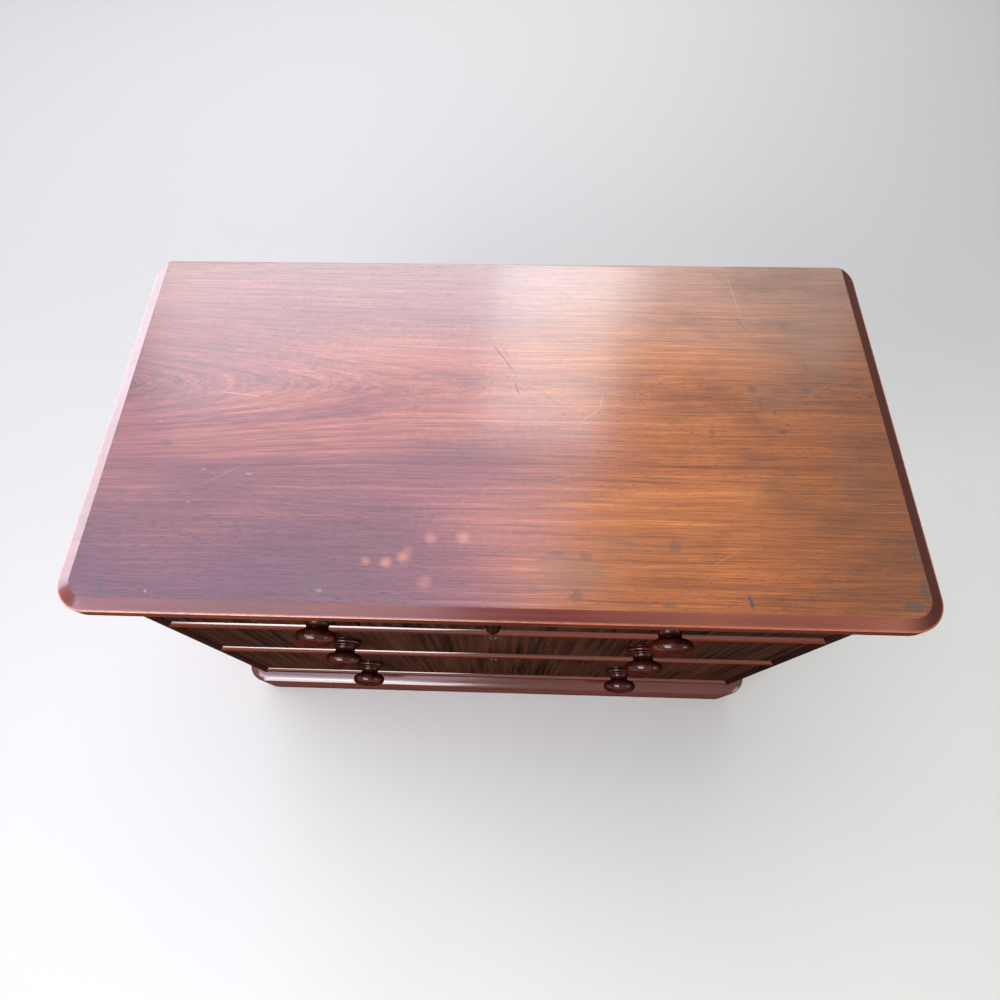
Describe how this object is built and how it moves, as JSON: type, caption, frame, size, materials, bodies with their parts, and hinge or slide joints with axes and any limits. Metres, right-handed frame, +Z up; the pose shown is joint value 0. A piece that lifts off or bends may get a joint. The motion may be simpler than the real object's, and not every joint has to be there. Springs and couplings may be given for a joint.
{
  "type": "chest of drawers",
  "caption": "Free-standing wooden chest with short drawers over long ones, half-round beaded front edges, a bevelled top, turned knobs and a projecting plinth.",
  "frame": {"origin": "on the floor, in the middle of the box that holds the chest with its drawers shut", "axes": "+X to the right along the front, -Y out of the front towards the user, +Z up"},
  "size_m": [0.93, 0.4836, 0.685],
  "materials": {
    "top_wood": "old French polish over mahogany, glossy and pale where it has worn",
    "case_wood": "polished mahogany",
    "facing_wood": "glossy red-brown mahogany, half-round",
    "front_wood": "dark figured mahogany veneer, mirror polished",
    "knob_wood": "turned and polished, almost black",
    "inner_wood": "planed pine, unfinished",
    "lining_wood": "planed drawer lining, unfinished",
    "brass": "aged",
    "steel": "dull"
  },
  "bodies": {
    "case": {"top_board": "top_wood", "side_left": "case_wood", "side_right": "case_wood", "rail_top": "case_wood", "rail_upper": "inner_wood", "rail_middle": "inner_wood", "rail_bottom": "inner_wood", "rail_back": "inner_wood", "muntin": "facing_wood", "facing_top": "facing_wood", "facing_upper": "facing_wood", "facing_middle": "facing_wood", "facing_bottom": "facing_wood", "facing_left": "facing_wood", "facing_right": "facing_wood", "runners": "inner_wood", "centre_runner": "inner_wood", "kickers": "inner_wood", "dust_boards": "inner_wood", "back_boards": "inner_wood", "drawer_stops": "inner_wood", "plinth_front": "case_wood", "plinth_left": "case_wood", "plinth_right": "case_wood", "plinth_back": "inner_wood", "plinth_blocks": "inner_wood", "top_screws": "steel"},
    "drawer_short_left": {"drawer_short_left_front": "front_wood", "drawer_short_left_side_left": "lining_wood", "drawer_short_left_side_right": "lining_wood", "drawer_short_left_back": "lining_wood", "drawer_short_left_bottom": "lining_wood", "drawer_short_left_knob": "knob_wood"},
    "drawer_short_right": {"drawer_short_right_front": "front_wood", "drawer_short_right_side_left": "lining_wood", "drawer_short_right_side_right": "lining_wood", "drawer_short_right_back": "lining_wood", "drawer_short_right_bottom": "lining_wood", "drawer_short_right_knob": "knob_wood"},
    "drawer_middle": {"drawer_middle_front": "front_wood", "drawer_middle_side_left": "lining_wood", "drawer_middle_side_right": "lining_wood", "drawer_middle_back": "lining_wood", "drawer_middle_bottom": "lining_wood", "drawer_middle_knob_left": "knob_wood", "drawer_middle_knob_right": "knob_wood", "drawer_middle_lock_case": "brass", "drawer_middle_escutcheon": "brass"},
    "drawer_middle_bolt": {"drawer_middle_lock_bolt": "steel"},
    "drawer_bottom": {"drawer_bottom_front": "front_wood", "drawer_bottom_side_left": "lining_wood", "drawer_bottom_side_right": "lining_wood", "drawer_bottom_back": "lining_wood", "drawer_bottom_bottom": "lining_wood", "drawer_bottom_knob_left": "knob_wood", "drawer_bottom_knob_right": "knob_wood", "drawer_bottom_lock_case": "brass", "drawer_bottom_escutcheon": "brass"},
    "drawer_bottom_bolt": {"drawer_bottom_lock_bolt": "steel"}
  },
  "joints": [
    {"name": "drawer_short_left_slide", "type": "slide", "parent": "case", "child": "drawer_short_left", "axis": [0, -1, 0], "range_m": [0, 0.32]},
    {"name": "drawer_short_right_slide", "type": "slide", "parent": "case", "child": "drawer_short_right", "axis": [0, -1, 0], "range_m": [0, 0.32]},
    {"name": "drawer_middle_slide", "type": "slide", "parent": "case", "child": "drawer_middle", "axis": [0, -1, 0], "range_m": [0, 0.32]},
    {"name": "drawer_middle_bolt_slide", "type": "slide", "parent": "drawer_middle", "child": "drawer_middle_bolt", "axis": [0, 0, 1], "range_m": [0, 0.007]},
    {"name": "drawer_bottom_slide", "type": "slide", "parent": "case", "child": "drawer_bottom", "axis": [0, -1, 0], "range_m": [0, 0.32]},
    {"name": "drawer_bottom_bolt_slide", "type": "slide", "parent": "drawer_bottom", "child": "drawer_bottom_bolt", "axis": [0, 0, 1], "range_m": [0, 0.007]}
  ]
}
